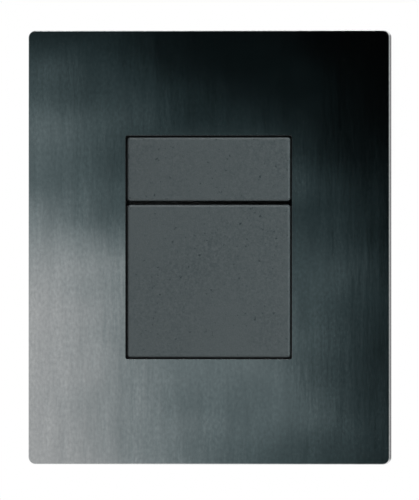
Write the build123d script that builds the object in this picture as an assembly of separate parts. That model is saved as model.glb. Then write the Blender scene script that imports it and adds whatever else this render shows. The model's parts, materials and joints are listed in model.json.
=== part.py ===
from build123d import *
import math
import os

# Dual-flush button plate, in millimetres: +Z is up, the front faces -Y and the wall plane is y = 0.
# The origin is the middle of the plate, on the wall plane.
WALL = 0.0

# Front plate, folded from sheet
WINDOW_WIDTH = 48.0
WINDOW_HEIGHT = 64.0
SIDE_MARGIN = 28.0
END_MARGIN = 30.0
PLATE_DEPTH = 5.0
SHEET = 1.5
FOLD_RADIUS = 0.5
PLATE_EDGE = 0.3
WINDOW_CORNER = 0.5
WINDOW_EDGE = 0.15

# Keys, flush with the plate's face
KEY_GAP = 0.55
KEY_SPLIT = 1.1
SMALL_KEY_HEIGHT = 18.2
KEY_CORNER = 0.45
KEY_EDGE = 0.55

# Rubber pads between the rockers' wings and the plate
PAD_THICKNESS = 0.45
PAD_CLEARANCE = 0.05
PAD_WIDTH = 3.0
PAD_HEIGHT = 7.0
PAD_FROM_FREE_EDGE = 6.0

# Rockers that carry the keys
ROCKER_THICKNESS = 2.5
ROCKER_INSET = 0.4
ROCKER_HEEL_GAP = 1.0
ROCKER_CORNER = 1.5
WING = 4.5
RIB_THICKNESS = 1.6
RIB_HEIGHT = 2.5
NUDGE_RADIUS = 4.0
NUDGE_WIDTH = 7.0

# Hinges
PIN_RADIUS = 1.25
PIN_RUNNING = 0.05
PIN_HOLD = 0.02
PIN_RECESS = 3.0
BARREL_RADIUS = 2.8
BARREL_LENGTH = 6.2
BARREL_SIDE_PLAY = 0.3
BARREL_CLEARANCE = 0.7
LUG_WALL = 2.0
LUG_WIDTH = 6.5
LUG_ROOT = 1.0

# Hinge frame behind the plate
FRAME_DEPTH = 6.0
FRAME_CLEARANCE = 2.0
FRAME_END_GAP = 1.0
FRAME_CORNER = 1.5
END_RAIL = 2.5
END_RAIL_CLEARANCE = 0.5

# Wall tray
FLANGE_SIDE_GAP = 1.5
FLANGE_FRONT_GAP = 1.0
FLANGE_LIP = 5.0
FLANGE_CORNER = 3.0
TRAY_WALL = 2.0
TRAY_CORNER = 2.0
TRAY_RIB = 1.6
TRAY_RIB_HEIGHT = 1.5
TRAY_RIB_INSET = 2.0

# Plate studs, their nuts and the spring clips under them
STUD_RADIUS = 1.5
STUD_HOLE_CLEARANCE = 0.15
STUD_PROUD = 0.8
STUD_FROM_PIVOT = 7.2
STUD_NUT_FLATS = 5.5
STUD_NUT_HEIGHT = 2.4
CLIP_GAP = 2.0
CLIP_SHEET = 0.5
CLIP_WIDTH = 8.0
CLIP_FOOT = 3.4
CLIP_LEG_INSET = 0.5
CLIP_LEG = 3.0
CLIP_RISE = 3.0
CLIP_TAIL = 4.0
CLIP_CATCH = 0.9
CLIP_SLOT = 3.8
CLIP_SLOT_SIDE = 0.5

# Push rods and what guides them
STROKE = 4.0
STROKE_CLEARANCE = 0.15
TAPPET_PLAY = 0.15
TAPPET_HEAD = 2.0
TAPPET_RIM = 1.0
STEM_RADIUS = 3.5
STEM_CLEARANCE = 0.1
STEM_BEYOND = 6.0
NOSE_WALL = 1.3
NOSE_LENGTH = 6.2
BUSH_BODY_WALL = 2.4
BUSH_LEDGE = 1.5
BUSH_FLANGE = 1.5
BUSH_SLEEVE = 6.0
BUSH_HOLE_CLEARANCE = 0.1
BUSH_NUT_WALL = 2.5
BUSH_NUT_HEIGHT = 3.0
SPRING_WIRE = 0.8
SPRING_CLEARANCE = 0.3
SPRING_TURNS = 4.25
SPRING_STEPS = 12
SPRING_SIDES = 6
SPRING_SEAT = 0.02
ROD_RADIUS = 2.0
ROD_ENGAGED = 18.0
ROD_BEYOND = 28.0
THREAD_CLEARANCE = 0.05
LOCK_NUT_FLATS = 7.0
LOCK_NUT_HEIGHT = 3.2
TIP_WALL = 1.45
TIP_ENGAGED = 4.0
TIP_END = 2.0

# Wall screws
SCREW_RADIUS = 2.0
SCREW_NECK_RADIUS = 1.75
SCREW_REACH = 30.0
SCREW_HEAD_RIM = 2.25
SCREW_HEAD_HEIGHT = 2.6
SCREW_DRIVE = 1.0
SCREW_DRIVE_LENGTH = 4.6
SCREW_DRIVE_DEPTH = 1.5
SCREW_INSET = 8.0
SCREW_HOLE_CLEARANCE = 0.5

# Where the layers lie, from the front to the wall
plate_width = WINDOW_WIDTH + 2 * SIDE_MARGIN
plate_height = WINDOW_HEIGHT + 2 * END_MARGIN
plate_corner = FOLD_RADIUS + SHEET
plate_front = WALL - PLATE_DEPTH
sheet_back = plate_front + SHEET
key_back = sheet_back + PAD_THICKNESS + PAD_CLEARANCE
rocker_back = key_back + ROCKER_THICKNESS
pivot_y = sheet_back + BARREL_CLEARANCE + BARREL_RADIUS
frame_back = sheet_back + FRAME_DEPTH
flange_front = sheet_back + FLANGE_FRONT_GAP

# Half-sizes, from the rim inwards
flange_half_x = plate_width / 2 - SHEET - FLANGE_SIDE_GAP
flange_half_z = plate_height / 2 - SHEET - FLANGE_SIDE_GAP
tray_half_x = flange_half_x - FLANGE_LIP
tray_half_z = flange_half_z - FLANGE_LIP
tray_inner_x = tray_half_x - TRAY_WALL
tray_inner_z = tray_half_z - TRAY_WALL
frame_half_x = tray_inner_x - CLIP_GAP
frame_half_z = tray_inner_z - FRAME_END_GAP
wing_half = WINDOW_WIDTH / 2 + WING
frame_inner_x = wing_half + FRAME_CLEARANCE
frame_inner_z = frame_half_z - END_RAIL
pivot_z = frame_inner_z - END_RAIL_CLEARANCE - BARREL_RADIUS
lug_radius = PIN_RADIUS + LUG_WALL
lug_inner = frame_inner_x - LUG_WIDTH
barrel_outer = lug_inner - BARREL_SIDE_PLAY
barrel_inner = barrel_outer - BARREL_LENGTH

# Keys and the rods behind their middles
key_width = WINDOW_WIDTH - 2 * KEY_GAP
key_end = WINDOW_HEIGHT / 2 - KEY_GAP
small_key_free = key_end - SMALL_KEY_HEIGHT
large_key_free = small_key_free - KEY_SPLIT
small_rod_z = (key_end + small_key_free) / 2
large_rod_z = (large_key_free - key_end) / 2

# Rod guide, outwards from the stem
bush_bore = STEM_RADIUS + STEM_CLEARANCE
nose_radius = bush_bore + NOSE_WALL
bush_radius = bush_bore + BUSH_BODY_WALL
bush_flange_half = bush_radius + BUSH_LEDGE
bush_hole_radius = bush_radius + BUSH_HOLE_CLEARANCE
bush_nut_flats = 2 * (bush_radius + BUSH_NUT_WALL)
spring_radius = nose_radius + SPRING_CLEARANCE + SPRING_WIRE / 2
tappet_head_radius = spring_radius + SPRING_WIRE / 2 + TAPPET_RIM

# Rod guide, from the rocker's nudge to the far end
tappet_front = pivot_y + NUDGE_RADIUS + TAPPET_PLAY
tappet_head_back = tappet_front + TAPPET_HEAD
nose_front = tappet_head_back + STROKE + STROKE_CLEARANCE
bush_seat = nose_front + NOSE_LENGTH
tray_floor = bush_seat + BUSH_FLANGE
tray_back = tray_floor + TRAY_WALL
bush_end = tray_back + BUSH_SLEEVE
stem_end = bush_end + STEM_BEYOND
rod_end = stem_end + ROD_BEYOND

# Screws and studs
screw_x = tray_inner_x - SCREW_INSET
screw_head_radius = SCREW_NECK_RADIUS + SCREW_HEAD_RIM
screw_hole_radius = SCREW_NECK_RADIUS + SCREW_HOLE_CLEARANCE
stud_x = (frame_inner_x + frame_half_x) / 2
stud_z = pivot_z - STUD_FROM_PIVOT
stud_hole_radius = STUD_RADIUS + STUD_HOLE_CLEARANCE
clip_back = frame_back + CLIP_SHEET
clip_catch_y = frame_back + CLIP_SHEET / 2 + CLIP_LEG + CLIP_RISE
stud_end = clip_back + STUD_NUT_HEIGHT + STUD_PROUD

SIDES = (-1, 1)


def slab(profile, y_front, y_back):
    """A profile drawn in x and z, made solid from y_front to y_back."""
    return extrude(Plane.XZ.offset(-y_back) * profile, y_back - y_front)


def block(x_low, x_high, y_low, y_high, z_low, z_high):
    """A plain block between six planes."""
    place = Pos((x_low + x_high) / 2, (z_low + z_high) / 2)
    return slab(place * Rectangle(x_high - x_low, z_high - z_low), y_low, y_high)


def rod_along_x(radius, x_low, x_high, z):
    """A round bar on a hinge axis."""
    return extrude(Plane.YZ.offset(x_low) * Pos(pivot_y, z) * Circle(radius), x_high - x_low)


def turned(outline):
    """A turned piece about the y axis, from closed (radius, y) points."""
    return revolve(make_face(Polyline(*outline, close=True)), Axis.Y)


def hex_nut(flats, bore, y_front, y_back):
    """A hex nut on the y axis with a plain bore."""
    return slab(RegularPolygon(flats / 2, 6, major_radius=False) - Circle(bore), y_front, y_back)


def cut_rectangle(width, height, corner):
    """A rectangle with its corners cut off at 45 degrees."""
    return chamfer(Rectangle(width, height).vertices(), corner)


def front_edges(solid):
    """The edges round the face that looks to the front."""
    return solid.faces().sort_by(Axis.Y)[0].edges()


def make_front_plate():
    """Folded face with a rim back to the wall and one window."""
    outline = RectangleRounded(plate_width, plate_height, plate_corner)
    inside = RectangleRounded(plate_width - 2 * SHEET, plate_height - 2 * SHEET, FOLD_RADIUS)
    pan = slab(outline, plate_front, WALL)
    pan = chamfer(front_edges(pan), PLATE_EDGE)
    pan -= slab(inside, sheet_back, WALL)
    window = cut_rectangle(WINDOW_WIDTH, WINDOW_HEIGHT, WINDOW_CORNER)
    pan -= slab(window, plate_front, sheet_back)
    face = pan.faces().sort_by(Axis.Y)[0]
    return chamfer(face.inner_wires()[0].edges(), WINDOW_EDGE)


def make_key(z_low, z_high):
    """Flat metal key with eased front edges, bonded to its rocker."""
    place = Pos(0, (z_low + z_high) / 2)
    key = slab(place * cut_rectangle(key_width, z_high - z_low, KEY_CORNER), plate_front, key_back)
    return chamfer(front_edges(key), KEY_EDGE)


def make_nudge(rod_z):
    """Round-backed bar that pushes the tappet, its centre line in the plane of the hinge axes."""
    base = key_back + ROCKER_THICKNESS / 2
    foot = Pos((base + pivot_y) / 2, rod_z) * Rectangle(pivot_y - base, 2 * NUDGE_RADIUS)
    arc = CenterArc((pivot_y, rod_z), NUDGE_RADIUS, -90, 180)
    back = make_face(arc + Line(arc @ 1, arc @ 0))
    return extrude(Plane.YZ.offset(-NUDGE_WIDTH / 2) * (foot + back), NUDGE_WIDTH)


def make_rocker(z_low, rod_z):
    """Moulded carrier for a key that hangs from the top hinge: plate, arms, barrels, ribs and nudge."""
    free = z_low + ROCKER_INSET
    heel = pivot_z - lug_radius - ROCKER_HEEL_GAP
    outline = Pos(0, (free + heel) / 2) * cut_rectangle(2 * wing_half, heel - free, ROCKER_CORNER)
    arm_middle = (barrel_inner + barrel_outer) / 2
    for side in SIDES:
        outline += Pos(side * arm_middle, (rod_z + pivot_z) / 2) * Rectangle(BARREL_LENGTH, pivot_z - rod_z)
    body = slab(outline, key_back, rocker_back)
    rib_back = rocker_back + RIB_HEIGHT
    rib_half = RIB_THICKNESS / 2
    for side in SIDES:
        barrel = rod_along_x(BARREL_RADIUS, -BARREL_LENGTH / 2, BARREL_LENGTH / 2, pivot_z)
        body += Pos(side * arm_middle, 0, 0) * barrel
        middle = side * arm_middle
        body += block(middle - rib_half, middle + rib_half, rocker_back, rib_back, free, pivot_z)
    for z in (free + rib_half, rod_z, heel - rib_half):
        body += block(-arm_middle, arm_middle, rocker_back, rib_back, z - rib_half, z + rib_half)
    body += make_nudge(rod_z)
    return body - rod_along_x(PIN_RADIUS + PIN_RUNNING, -barrel_outer, barrel_outer, pivot_z)


def make_pin():
    """Plain steel pin of the top hinge."""
    half = frame_half_x - PIN_RECESS
    return rod_along_x(PIN_RADIUS, -half, half, pivot_z)


def make_hinge_frame():
    """Moulded frame with a lug at each corner for the hinge pins and a hole for each stud."""
    outer = cut_rectangle(2 * frame_half_x, 2 * frame_half_z, FRAME_CORNER)
    inner = Rectangle(2 * frame_inner_x, 2 * frame_inner_z)
    frame = slab(outer - inner, sheet_back, frame_back)
    lug_back = pivot_y + lug_radius
    rail_middle = frame_half_z - END_RAIL / 2
    foot = Pos(pivot_y, (pivot_z + rail_middle) / 2) * Rectangle(2 * lug_radius, rail_middle - pivot_z)
    profile = foot + Pos(pivot_y, pivot_z) * Circle(lug_radius)
    lug = extrude(Plane.YZ.offset(lug_inner) * profile, LUG_WIDTH + LUG_ROOT)
    lug &= block(lug_inner, frame_half_x, sheet_back, lug_back, pivot_z - lug_radius, frame_half_z)
    top_lugs = lug + mirror(lug, about=Plane.YZ)
    frame += top_lugs
    frame += mirror(top_lugs, about=Plane.XY)
    frame -= at_studs(slab(Circle(stud_hole_radius), sheet_back, frame_back))
    for end in SIDES:
        frame -= rod_along_x(PIN_RADIUS + PIN_HOLD, -frame_half_x, frame_half_x, end * pivot_z)
    return frame


def make_stud():
    """Stud welded to the back of the plate, as a plain bar of the thread's outer size."""
    return slab(Circle(STUD_RADIUS), sheet_back, stud_end)


def make_clip():
    """Spring clip of the top right stud: a fork under the nut and a leg that catches in the tray's slot."""
    foot_y = frame_back + CLIP_SHEET / 2
    leg_x = frame_half_x - CLIP_LEG_INSET
    catch_x = tray_inner_x + CLIP_CATCH - CLIP_SHEET / 2
    path = Polyline((stud_x - CLIP_FOOT, foot_y), (leg_x, foot_y), (leg_x, foot_y + CLIP_LEG),
                    (catch_x, clip_catch_y), (leg_x, clip_catch_y + CLIP_TAIL))
    strip = extrude(trace(path, CLIP_SHEET), CLIP_WIDTH / 2, both=True)
    fork = block(stud_x - CLIP_FOOT, stud_x + stud_hole_radius, frame_back, clip_back,
                 -stud_hole_radius, stud_hole_radius)
    return Pos(0, 0, stud_z) * (strip - fork)


def four_ways(solid):
    """One solid at each corner, mirrored from the top right one."""
    right = [solid, mirror(solid, about=Plane.XY)]
    return Compound(children=right + [mirror(piece, about=Plane.YZ) for piece in right])


def make_pad(free_edge, inwards):
    """Rubber stop behind the plate's right edge, near a rocker's free edge."""
    middle = free_edge + inwards * PAD_FROM_FREE_EDGE
    x = WINDOW_WIDTH / 2 + WING / 2
    return slab(Pos(x, middle) * Rectangle(PAD_WIDTH, PAD_HEIGHT), sheet_back, sheet_back + PAD_THICKNESS)


def make_tray():
    """Wall tray: flange on the wall, walls into it, and a back wall with holes for bushes and screws."""
    tray = slab(RectangleRounded(2 * flange_half_x, 2 * flange_half_z, FLANGE_CORNER), flange_front, WALL)
    outside = RectangleRounded(2 * tray_half_x, 2 * tray_half_z, TRAY_CORNER + TRAY_WALL)
    inside = RectangleRounded(2 * tray_inner_x, 2 * tray_inner_z, TRAY_CORNER)
    tray += slab(outside, flange_front, tray_back)
    tray -= slab(inside, flange_front, tray_floor)
    rib_back = tray_back + TRAY_RIB_HEIGHT
    rib_x = (screw_x + bush_flange_half) / 2
    rib_z = tray_half_z - TRAY_CORNER - TRAY_WALL - TRAY_RIB_INSET
    for side in SIDES:
        x = side * rib_x
        tray += block(x - TRAY_RIB / 2, x + TRAY_RIB / 2, tray_floor, rib_back, -rib_z, rib_z)
        z = side * rib_z
        tray += block(-rib_x, rib_x, tray_floor, rib_back, z - TRAY_RIB / 2, z + TRAY_RIB / 2)
    for rod_z in (small_rod_z, large_rod_z):
        tray -= slab(Pos(0, rod_z) * Circle(bush_hole_radius), tray_floor, tray_back)
    for side in SIDES:
        tray -= slab(Pos(side * screw_x, 0) * Circle(screw_hole_radius), tray_floor, tray_back)
        for end in SIDES:
            wall = sorted((side * tray_inner_x, side * tray_half_x))
            middle = end * stud_z
            reach = CLIP_WIDTH / 2 + CLIP_SLOT_SIDE
            tray -= block(*wall, clip_catch_y - CLIP_SLOT / 2, clip_catch_y + CLIP_SLOT / 2,
                          middle - reach, middle + reach)
    return tray


def make_bush():
    """Guide bush: a nose for the spring, a square flange on the tray's floor and a sleeve through it."""
    bush = slab(Circle(nose_radius), nose_front, bush_seat)
    bush += slab(Rectangle(2 * bush_flange_half, 2 * bush_flange_half), bush_seat, tray_floor)
    bush += slab(Circle(bush_radius), tray_floor, bush_end)
    return bush - slab(Circle(bush_bore), nose_front, bush_end)


def make_tappet():
    """Headed sleeve with a blind bore for the threaded rod."""
    bore = ROD_RADIUS + THREAD_CLEARANCE
    bore_front = stem_end - ROD_ENGAGED
    return turned([(0, tappet_front), (tappet_head_radius, tappet_front),
                   (tappet_head_radius, tappet_head_back), (STEM_RADIUS, tappet_head_back),
                   (STEM_RADIUS, stem_end), (bore, stem_end), (bore, bore_front), (0, bore_front)])


def make_rod():
    """Threaded rod, as a plain bar of the thread's outer size."""
    return slab(Circle(ROD_RADIUS), stem_end - ROD_ENGAGED, rod_end)


def make_rod_tip():
    """Blunt cap on the rod's far end."""
    radius = ROD_RADIUS + TIP_WALL
    bore = ROD_RADIUS + THREAD_CLEARANCE
    tip = rod_end + TIP_END
    return turned([(bore, rod_end - TIP_ENGAGED), (radius, rod_end - TIP_ENGAGED), (radius, tip),
                   (0, tip), (0, rod_end), (bore, rod_end)])


def make_spring():
    """Coil spring from the tappet's head to the bush's flange."""
    start = tappet_head_back + SPRING_SEAT + SPRING_WIRE / 2
    height = bush_seat - SPRING_SEAT - SPRING_WIRE / 2 - start
    count = round(SPRING_TURNS * SPRING_STEPS)
    points = []
    for step in range(count + 1):
        angle = 2 * math.pi * step / SPRING_STEPS
        y = start + height * step / count
        points.append((spring_radius * math.cos(angle), y, spring_radius * math.sin(angle)))
    path = Polyline(*points)
    section = Plane(origin=path @ 0, z_dir=path % 0) * RegularPolygon(SPRING_WIRE / 2, SPRING_SIDES)
    return sweep(section, path=path, transition=Transition.RIGHT)


def make_screw():
    """Long wall screw: head with a cross drive, a plain neck through the tray and a threaded shank's bar."""
    head_front = tray_floor - SCREW_HEAD_HEIGHT
    tip = tray_back + SCREW_REACH
    screw = turned([(0, head_front), (screw_head_radius, head_front), (screw_head_radius, tray_floor),
                    (SCREW_NECK_RADIUS, tray_floor), (SCREW_NECK_RADIUS, tray_back),
                    (SCREW_RADIUS, tray_back), (SCREW_RADIUS, tip), (0, tip)])
    for long_x, long_z in ((SCREW_DRIVE_LENGTH, SCREW_DRIVE), (SCREW_DRIVE, SCREW_DRIVE_LENGTH)):
        screw -= slab(Rectangle(long_x, long_z), head_front, head_front + SCREW_DRIVE_DEPTH)
    return screw


def both_sides(solid):
    """The same piece at the left and the right wall screw."""
    return Compound(children=[Pos(side * screw_x, 0, 0) * solid for side in SIDES])


def at_studs(solid):
    """The same piece at each of the four studs."""
    places = [Pos(side * stud_x, 0, end * stud_z) for side in SIDES for end in SIDES]
    return Compound(children=[place * solid for place in places])


small_pad = make_pad(small_key_free, 1)
large_pad = make_pad(large_key_free, -1)

pieces = {
    "front_plate": make_front_plate(),
    "plate_studs": at_studs(make_stud()),
    "stud_nuts": at_studs(hex_nut(STUD_NUT_FLATS, STUD_RADIUS + THREAD_CLEARANCE,
                                  clip_back, clip_back + STUD_NUT_HEIGHT)),
    "hinge_frame": make_hinge_frame(),
    "retaining_clips": four_ways(make_clip()),
    "stop_pads": Compound(children=[pad if side > 0 else mirror(pad, about=Plane.YZ)
                                    for pad in (small_pad, large_pad) for side in SIDES]),
    "mounting_frame": make_tray(),
    "wall_screws": both_sides(make_screw()),
}

# The small key hangs from the top hinge. The large key's rocker is made the same way and turned upside down.
pieces["small_key_cap"] = make_key(small_key_free, key_end)
pieces["large_key_cap"] = make_key(-key_end, large_key_free)
pieces["small_rocker"] = make_rocker(small_key_free, small_rod_z)
pieces["large_rocker"] = mirror(make_rocker(-large_key_free, -large_rod_z), about=Plane.XY)
pieces["small_hinge_pin"] = make_pin()
pieces["large_hinge_pin"] = mirror(make_pin(), about=Plane.XY)

# Both push rods are the same set of pieces, each behind its own key
for size, rod_z in (("small", small_rod_z), ("large", large_rod_z)):
    place = Pos(0, 0, rod_z)
    pieces[size + "_rod_bush"] = place * make_bush()
    pieces[size + "_bush_nut"] = place * hex_nut(bush_nut_flats, bush_radius + THREAD_CLEARANCE,
                                                 tray_back, tray_back + BUSH_NUT_HEIGHT)
    pieces[size + "_tappet"] = place * make_tappet()
    pieces[size + "_rod"] = place * make_rod()
    pieces[size + "_lock_nut"] = place * hex_nut(LOCK_NUT_FLATS, ROD_RADIUS + THREAD_CLEARANCE,
                                                 stem_end, stem_end + LOCK_NUT_HEIGHT)
    pieces[size + "_rod_tip"] = place * make_rod_tip()
    pieces[size + "_rod_spring"] = place * make_spring()

os.makedirs("parts", exist_ok=True)
for name, solid in pieces.items():
    export_step(solid, "parts/" + name + ".step")
print("hinge axes at y", pivot_y, "z", pivot_z, "and rods at z", small_rod_z, round(large_rod_z, 3))
print("tray back at y", tray_back, "screws at x", screw_x, "rod tips at y", rod_end + TIP_END)
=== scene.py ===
# %% [markdown]
# # A dual-flush button plate
# The part is a brushed metal plate for the wall above a cistern, with a small key over a large key in
# one window. Behind it are a hinge frame, two rockers, two sprung push rods and a tray that is let into
# the wall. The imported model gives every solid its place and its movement. This lesson models each one
# again, because a real piece is finer than its solid, with round edges, threads, coils and turned
# faces, and gives it its finish.

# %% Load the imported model
import json
import math

import bmesh
import bpy
from mathutils import Matrix, Vector

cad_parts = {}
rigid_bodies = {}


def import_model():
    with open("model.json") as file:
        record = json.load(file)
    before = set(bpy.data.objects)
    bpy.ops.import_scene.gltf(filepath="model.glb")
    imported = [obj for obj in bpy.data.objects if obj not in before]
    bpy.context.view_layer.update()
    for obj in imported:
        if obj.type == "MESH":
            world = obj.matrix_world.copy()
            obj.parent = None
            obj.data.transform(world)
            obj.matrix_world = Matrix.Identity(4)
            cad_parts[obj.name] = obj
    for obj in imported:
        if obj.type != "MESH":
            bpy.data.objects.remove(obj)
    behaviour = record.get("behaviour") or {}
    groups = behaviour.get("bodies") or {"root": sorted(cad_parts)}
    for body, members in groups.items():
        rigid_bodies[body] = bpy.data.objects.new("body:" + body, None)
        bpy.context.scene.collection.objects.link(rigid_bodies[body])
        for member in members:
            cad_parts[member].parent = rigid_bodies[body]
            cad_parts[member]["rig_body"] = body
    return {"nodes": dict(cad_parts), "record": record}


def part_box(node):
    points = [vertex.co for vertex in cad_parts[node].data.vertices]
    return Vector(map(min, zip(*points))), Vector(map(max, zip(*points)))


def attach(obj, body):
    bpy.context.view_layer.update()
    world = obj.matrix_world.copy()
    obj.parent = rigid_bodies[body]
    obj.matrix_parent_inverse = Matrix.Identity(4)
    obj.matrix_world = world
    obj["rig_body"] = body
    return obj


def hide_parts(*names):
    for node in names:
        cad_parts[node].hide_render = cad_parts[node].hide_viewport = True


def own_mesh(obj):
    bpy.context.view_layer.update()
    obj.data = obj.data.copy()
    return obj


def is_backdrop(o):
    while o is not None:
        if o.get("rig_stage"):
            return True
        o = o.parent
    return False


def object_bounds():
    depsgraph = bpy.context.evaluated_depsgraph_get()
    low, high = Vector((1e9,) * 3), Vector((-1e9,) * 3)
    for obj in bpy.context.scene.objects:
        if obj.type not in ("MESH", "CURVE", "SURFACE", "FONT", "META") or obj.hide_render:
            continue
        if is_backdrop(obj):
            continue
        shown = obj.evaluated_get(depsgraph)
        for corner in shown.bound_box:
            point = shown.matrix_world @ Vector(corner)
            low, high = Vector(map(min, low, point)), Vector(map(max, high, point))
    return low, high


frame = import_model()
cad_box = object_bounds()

MM = 0.001
scene = bpy.context.scene


def print_box(title, box):
    """Prints the two corners of a box in millimetres."""
    print(title, [[round(value / MM, 2) for value in corner] for corner in box])


print_box("CAD box in mm:", cad_box)

# %% [markdown]
# ## How a finish is put together
# A finish is a Principled shader with a little unevenness in its colour, gloss and surface. Pictures of
# metal or plastic could be wrapped round the pieces, but noise on Object coordinates has no seams,
# keeps its true size in millimetres and needs no unwrapping. Each helper adds one step, so a finish
# reads as a short list.

# %% Nodes and what goes into them
def start_finish(name):
    """A new material and its node tree."""
    material = bpy.data.materials.new(name)
    material.use_nodes = True
    return material, material.node_tree


def feed(tree, socket, value):
    """Gives a socket a plain value, or what comes out of another node."""
    if isinstance(value, bpy.types.NodeSocket):
        tree.links.new(value, socket)
    else:
        socket.default_value = value


def add_node(tree, kind, inputs=None, **options):
    """One node of a kind, with its options and what goes into its sockets."""
    made = tree.nodes.new("ShaderNode" + kind)
    for option, value in options.items():
        setattr(made, option, value)
    for socket, value in (inputs or {}).items():
        feed(tree, made.inputs[socket], value)
    return made


def dress(material, inputs):
    """The same material with its Principled shader fed."""
    tree = material.node_tree
    shader = tree.nodes["Principled BSDF"]
    for socket, value in inputs.items():
        feed(tree, shader.inputs[socket], value)
    return material

# %% Noise, ranges, colours and relief
def grain(tree, lumps, detail=2.0):
    """Noise in the piece's own coordinates, with so many lumps to a millimetre along x, y and z."""
    place = add_node(tree, "TexCoord").outputs["Object"]
    scale = [count / MM for count in lumps]
    stretched = add_node(tree, "Mapping", {"Vector": place, "Scale": scale}).outputs["Vector"]
    noise = add_node(tree, "TexNoise", {"Vector": stretched, "Scale": 1.0, "Detail": detail})
    return noise.outputs["Fac"]


def spread(tree, value, low, high, start=0.3, stop=0.7, step="LINEAR"):
    """Runs from low to high as a value goes from start to stop, which by default is the reach of noise."""
    ends = {"Value": value, "From Min": start, "From Max": stop, "To Min": low, "To Max": high}
    return add_node(tree, "MapRange", ends, interpolation_type=step).outputs["Result"]


def blend_colours(tree, value, first, second):
    """The first colour where the value is 0 and the second where it is 1, each plain or from a node."""
    mix = add_node(tree, "Mix", {"Factor": value}, data_type="RGBA")
    colour_inputs = [socket for socket in mix.inputs if socket.type == "RGBA"]
    for socket, colour in zip(colour_inputs, (first, second)):
        feed(tree, socket, colour if isinstance(colour, bpy.types.NodeSocket) else (*colour, 1.0))
    return next(socket for socket in mix.outputs if socket.type == "RGBA")


def relief(tree, height, depth, under=None):
    """A surface that rises and falls with noise by a depth in millimetres, over another if given."""
    bump = add_node(tree, "Bump", {"Height": height, "Distance": depth * MM})
    if under is not None:
        feed(tree, bump.inputs["Normal"], under)
    return bump.outputs["Normal"]

# %% [markdown]
# ## The brushed face
# The plate is sheet metal brushed up and down, so its grain is a field of fine upright scratches. They
# could be cut as geometry, but there are far too many of them. Noise that is squeezed sideways and
# drawn out in height gives the streaks, and the shader's anisotropy gives what they do to light: a
# reflection is smeared across the grain. The tangent runs round the upright axis, so the smear is
# level. Two much slower noises bend the sheet by fractions of a millimetre, which is why real sheet
# shows cloudy reflections.

# %% Brushed metal
METAL_DARK = (0.47, 0.485, 0.49)
METAL_LIGHT = (0.62, 0.635, 0.635)
METAL_CLOUD = (0.40, 0.415, 0.42)
FINISHES = {}


def keep_finish(name, material):
    """Keeps a finish under the name of its material slot."""
    FINISHES[name] = material
    print(name, "is made of", len(material.node_tree.nodes), "nodes")


def brushed_metal():
    material, tree = start_finish("brushed_face")
    streaks = grain(tree, lumps=(1.2, 1.2, 0.8), detail=3.0)
    scratches = grain(tree, lumps=(7.0, 7.0, 0.25))
    clouds = grain(tree, lumps=(0.3, 0.3, 0.045), detail=4.0)
    waves = grain(tree, lumps=(0.03, 0.03, 0.022))
    brushed = blend_colours(tree, spread(tree, streaks, 0.0, 1.0), METAL_DARK, METAL_LIGHT)
    bent = relief(tree, clouds, depth=0.05, under=relief(tree, waves, depth=0.3))
    tangent = add_node(tree, "Tangent", direction_type="RADIAL", axis="Z")
    return dress(material, {
        "Metallic": 1.0,
        "Anisotropic": 0.7,
        "Tangent": tangent.outputs["Tangent"],
        "Base Color": blend_colours(tree, spread(tree, clouds, 0.0, 0.55), brushed, METAL_CLOUD),
        "Roughness": spread(tree, scratches, low=0.11, high=0.17),
        "Normal": relief(tree, streaks, depth=0.002, under=bent)})


keep_finish("brushed_face", brushed_metal())

# %% [markdown]
# ## The coat on the keys
# The keys are coated in matte anthracite. A powder coat is a skin of tiny bumps, finer in one place and
# coarser in the next, with a darker speck here and there where the powder flowed less. One noise could
# carry all of it, but then it would look the same all over. Two noises make the fine and the coarse
# grain here, and a slow one decides where each shows. The specks are the low tail of a fourth: only its
# deepest valleys pass the threshold, so they are rare and small.

# %% Anthracite coat
COAT_FINE = ((0.046, 0.062, 0.066), (0.077, 0.094, 0.098))
COAT_COARSE = ((0.034, 0.050, 0.054), (0.074, 0.091, 0.095))
COAT_SPECK = (0.016, 0.028, 0.031)
SPECK_FULL = 0.26
SPECK_NONE = 0.31


def anthracite_coat():
    material, tree = start_finish("key_coat")
    bumps = grain(tree, lumps=(3.2, 3.2, 3.2), detail=3.0)
    pebbles = grain(tree, lumps=(1.7, 1.7, 1.7), detail=3.0)
    patches = grain(tree, lumps=(0.04, 0.04, 0.04))
    valleys = grain(tree, lumps=(1.1, 1.1, 1.1))
    fine = blend_colours(tree, spread(tree, bumps, 0.0, 1.0), *COAT_FINE)
    coarse = blend_colours(tree, spread(tree, pebbles, 0.0, 1.0), *COAT_COARSE)
    uneven = blend_colours(tree, spread(tree, patches, 0.0, 1.0), fine, coarse)
    specks = spread(tree, valleys, 1.0, 0.0, SPECK_FULL, SPECK_NONE)
    return dress(material, {
        "Specular IOR Level": 0.8,
        "Base Color": blend_colours(tree, specks, uneven, COAT_SPECK),
        "Roughness": spread(tree, valleys, low=0.48, high=0.6),
        "Normal": relief(tree, bumps, depth=0.025, under=relief(tree, valleys, depth=0.05))})


keep_finish("key_coat", anthracite_coat())

# %% [markdown]
# ## Moulded plastics and rubber
# The frame, rockers, tray, bushes and tappets are injection moulded. A mould is spark-eroded to a fine
# satin, and the plastic flows in with faint clouds of shade. Each could get a recipe of its own, but
# only colour, gloss and the depth of the texture change from one to the next, so one function with a
# few numbers makes the whole family.

# %% Moulded finishes
def moulded(name, dark, light, gloss, texture_depth):
    """A plastic or rubber with clouds of shade from dark to light and a satin texture."""
    material, tree = start_finish(name)
    clouds = grain(tree, lumps=(0.05, 0.05, 0.05))
    satin = grain(tree, lumps=(5.0, 5.0, 5.0), detail=3.0)
    return dress(material, {
        "Specular IOR Level": 0.45,
        "Base Color": blend_colours(tree, spread(tree, clouds, 0.0, 1.0), dark, light),
        "Roughness": spread(tree, satin, *gloss),
        "Normal": relief(tree, satin, texture_depth)})


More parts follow.
